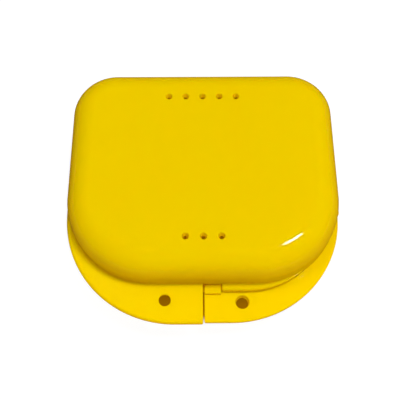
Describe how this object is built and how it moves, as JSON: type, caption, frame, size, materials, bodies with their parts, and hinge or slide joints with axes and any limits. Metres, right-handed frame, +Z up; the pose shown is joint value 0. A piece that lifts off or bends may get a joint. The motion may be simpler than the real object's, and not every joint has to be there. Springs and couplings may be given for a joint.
{
  "type": "denture case",
  "caption": "Shallow hinged case for a denture or retainer, made of two alike moulded halves with vents, a locating rim and a split thumb flange that opens it.",
  "frame": {"origin": "on the ground under the middle of the closed case, with its flange and hinge", "axes": "+X to the right, +Y to the hinge at the back, +Z up; the thumb flange is at -Y"},
  "size_m": [0.0782, 0.0794, 0.025],
  "materials": {
    "base_plastic": "glossy moulded yellow",
    "lid_plastic": "glossy moulded yellow"
  },
  "bodies": {
    "base": {"base_shell": "base_plastic"},
    "lid": {"lid_shell": "lid_plastic"}
  },
  "joints": [
    {"name": "lid_hinge", "type": "hinge", "parent": "base", "child": "lid", "pos_m": [0, 0.03762, 0.0125], "axis": [-1, 0, 0], "range_deg": [0, 180]}
  ]
}
